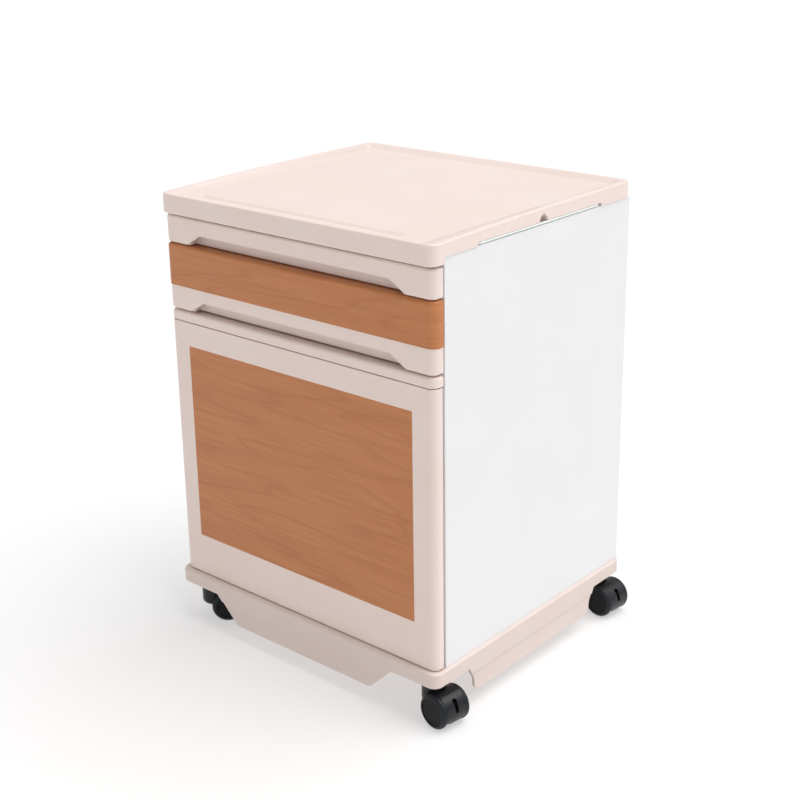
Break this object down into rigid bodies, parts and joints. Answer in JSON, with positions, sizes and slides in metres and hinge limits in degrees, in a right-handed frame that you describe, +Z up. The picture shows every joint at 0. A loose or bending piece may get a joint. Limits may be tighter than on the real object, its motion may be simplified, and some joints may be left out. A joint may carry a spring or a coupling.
{
  "type": "bedside cabinet",
  "caption": "Hospital bedside cabinet with a rimmed tray top, pull-out dining board, drawer, hinged door, sliding towel rails and hooded swivel casters.",
  "frame": {"origin": "on the floor, under the middle of the cabinet", "axes": "+Z up, -Y towards the front with the drawer and door, +X to the right seen from the front"},
  "size_m": [0.5424, 0.4567, 0.68],
  "materials": {
    "beige_plastic": "satin moulded ABS, warm pinkish beige",
    "white_panel": "smooth white glossy panel",
    "white_board": "white board with a fine matt skin",
    "grey_plastic": "light grey moulded plastic",
    "wood_grain_laminate": "beech or cherry wood-grain laminate, satin",
    "polished_steel": "polished stainless rod",
    "zinc_steel": "zinc-plated steel",
    "black_nylon": "black nylon",
    "black_tread": "black nylon and polyurethane wheel",
    "dark_plastic": "dark grey nylon"
  },
  "bodies": {
    "cabinet": {"back_panel": "white_board", "back_screws": "zinc_steel", "base_plate": "beige_plastic", "board_runner_left": "grey_plastic", "board_runner_right": "grey_plastic", "caster_sockets": "dark_plastic", "cross_rail": "beige_plastic", "divider_panel": "white_board", "door_bushes": "dark_plastic", "inner_shelf": "white_board", "magnet_catch": "dark_plastic", "shelf_pins": "zinc_steel", "side_panel_left": "white_panel", "side_panel_right": "white_panel", "slide_outer_left": "zinc_steel", "slide_outer_right": "zinc_steel", "top_tray": "beige_plastic", "towel_rail_guides_left": "grey_plastic", "towel_rail_guides_right": "grey_plastic"},
    "dining_board": {"dining_board": "beige_plastic", "board_front": "beige_plastic"},
    "drawer": {"drawer_front": "beige_plastic", "drawer_cover": "wood_grain_laminate", "drawer_box": "grey_plastic", "slide_inner_left": "zinc_steel", "slide_inner_right": "zinc_steel"},
    "drawer_slide_middles": {"slide_middle_left": "zinc_steel", "slide_middle_right": "zinc_steel"},
    "door": {"door_frame": "beige_plastic", "door_wood_panel": "wood_grain_laminate", "door_liner": "white_board", "door_pins": "zinc_steel", "strike_plate": "zinc_steel"},
    "towel_rail_right": {"towel_rail_right": "polished_steel"},
    "towel_rail_left": {"towel_rail_left": "polished_steel"},
    "caster_front_right": {"caster_body_front_right": "black_nylon", "axle_front_right": "zinc_steel"},
    "brake_lever_front_right": {"brake_lever_front_right": "black_nylon"},
    "wheel_a_front_right": {"wheel_a_front_right": "black_tread"},
    "wheel_b_front_right": {"wheel_b_front_right": "black_tread"},
    "caster_rear_right": {"caster_body_rear_right": "black_nylon", "axle_rear_right": "zinc_steel"},
    "brake_lever_rear_right": {"brake_lever_rear_right": "black_nylon"},
    "wheel_a_rear_right": {"wheel_a_rear_right": "black_tread"},
    "wheel_b_rear_right": {"wheel_b_rear_right": "black_tread"},
    "caster_front_left": {"caster_body_front_left": "black_nylon", "axle_front_left": "zinc_steel"},
    "brake_lever_front_left": {"brake_lever_front_left": "black_nylon"},
    "wheel_a_front_left": {"wheel_a_front_left": "black_tread"},
    "wheel_b_front_left": {"wheel_b_front_left": "black_tread"},
    "caster_rear_left": {"caster_body_rear_left": "black_nylon", "axle_rear_left": "zinc_steel"},
    "brake_lever_rear_left": {"brake_lever_rear_left": "black_nylon"},
    "wheel_a_rear_left": {"wheel_a_rear_left": "black_tread"},
    "wheel_b_rear_left": {"wheel_b_rear_left": "black_tread"}
  },
  "joints": [
    {"name": "dining_board_slide", "type": "slide", "parent": "cabinet", "child": "dining_board", "axis": [0, -1, 0], "range_m": [0, 0.3]},
    {"name": "drawer_slide", "type": "slide", "parent": "cabinet", "child": "drawer", "axis": [0, -1, 0], "range_m": [0, 0.32]},
    {"name": "drawer_middle_slide", "type": "slide", "parent": "cabinet", "child": "drawer_slide_middles", "axis": [0, -1, 0], "range_m": [0, 0.16]},
    {"name": "door_hinge", "type": "hinge", "parent": "cabinet", "child": "door", "pos_m": [0.2415, -0.2055, 0.28775], "axis": [0, 0, 1], "range_deg": [0, 110]},
    {"name": "towel_rail_right_slide", "type": "slide", "parent": "cabinet", "child": "towel_rail_right", "axis": [1, 0, 0], "range_m": [0, 0.078]},
    {"name": "towel_rail_left_slide", "type": "slide", "parent": "cabinet", "child": "towel_rail_left", "axis": [-1, 0, 0], "range_m": [0, 0.078]},
    {"name": "swivel_front_right", "type": "hinge", "parent": "cabinet", "child": "caster_front_right", "pos_m": [0.2215, -0.1915, 0.06], "axis": [0, 0, 1], "continuous": true},
    {"name": "brake_front_right", "type": "hinge", "parent": "caster_front_right", "child": "brake_lever_front_right", "pos_m": [0.24329, -0.19456, 0.025], "axis": [0.1392, 0.9903, 0], "range_deg": [0, 18]},
    {"name": "wheel_a_spin_front_right", "type": "hinge", "parent": "caster_front_right", "child": "wheel_a_front_right", "pos_m": [0.24329, -0.19456, 0.025], "axis": [-0.1392, -0.9903, 0], "continuous": true},
    {"name": "wheel_b_spin_front_right", "type": "hinge", "parent": "caster_front_right", "child": "wheel_b_front_right", "pos_m": [0.24329, -0.19456, 0.025], "axis": [-0.1392, -0.9903, 0], "continuous": true},
    {"name": "swivel_rear_right", "type": "hinge", "parent": "cabinet", "child": "caster_rear_right", "pos_m": [0.2215, 0.206, 0.06], "axis": [0, 0, 1], "continuous": true},
    {"name": "brake_rear_right", "type": "hinge", "parent": "caster_rear_right", "child": "brake_lever_rear_right", "pos_m": [0.24342, 0.20408, 0.025], "axis": [0.0872, 0.9962, 0], "range_deg": [0, 18]},
    {"name": "wheel_a_spin_rear_right", "type": "hinge", "parent": "caster_rear_right", "child": "wheel_a_rear_right", "pos_m": [0.24342, 0.20408, 0.025], "axis": [-0.0872, -0.9962, 0], "continuous": true},
    {"name": "wheel_b_spin_rear_right", "type": "hinge", "parent": "caster_rear_right", "child": "wheel_b_rear_right", "pos_m": [0.24342, 0.20408, 0.025], "axis": [-0.0872, -0.9962, 0], "continuous": true},
    {"name": "swivel_front_left", "type": "hinge", "parent": "cabinet", "child": "caster_front_left", "pos_m": [-0.2215, -0.1915, 0.06], "axis": [0, 0, 1], "continuous": true},
    {"name": "brake_front_left", "type": "hinge", "parent": "caster_front_left", "child": "brake_lever_front_left", "pos_m": [-0.20678, -0.17515, 0.025], "axis": [-0.7431, 0.6691, 0], "range_deg": [0, 18]},
    {"name": "wheel_a_spin_front_left", "type": "hinge", "parent": "caster_front_left", "child": "wheel_a_front_left", "pos_m": [-0.20678, -0.17515, 0.025], "axis": [0.7431, -0.6691, 0], "continuous": true},
    {"name": "wheel_b_spin_front_left", "type": "hinge", "parent": "caster_front_left", "child": "wheel_b_front_left", "pos_m": [-0.20678, -0.17515, 0.025], "axis": [0.7431, -0.6691, 0], "continuous": true},
    {"name": "swivel_rear_left", "type": "hinge", "parent": "cabinet", "child": "caster_rear_left", "pos_m": [-0.2215, 0.206, 0.06], "axis": [0, 0, 1], "continuous": true},
    {"name": "brake_rear_left", "type": "hinge", "parent": "caster_rear_left", "child": "brake_lever_rear_left", "pos_m": [-0.24305, 0.20158, 0.025], "axis": [0.2011, -0.9796, 0], "range_deg": [0, 18]},
    {"name": "wheel_a_spin_rear_left", "type": "hinge", "parent": "caster_rear_left", "child": "wheel_a_rear_left", "pos_m": [-0.24305, 0.20158, 0.025], "axis": [-0.2011, 0.9796, 0], "continuous": true},
    {"name": "wheel_b_spin_rear_left", "type": "hinge", "parent": "caster_rear_left", "child": "wheel_b_rear_left", "pos_m": [-0.24305, 0.20158, 0.025], "axis": [-0.2011, 0.9796, 0], "continuous": true}
  ],
  "couplings": [
    {"joint": "drawer_middle_slide", "follows": "drawer_slide", "ratio": 0.5}
  ]
}
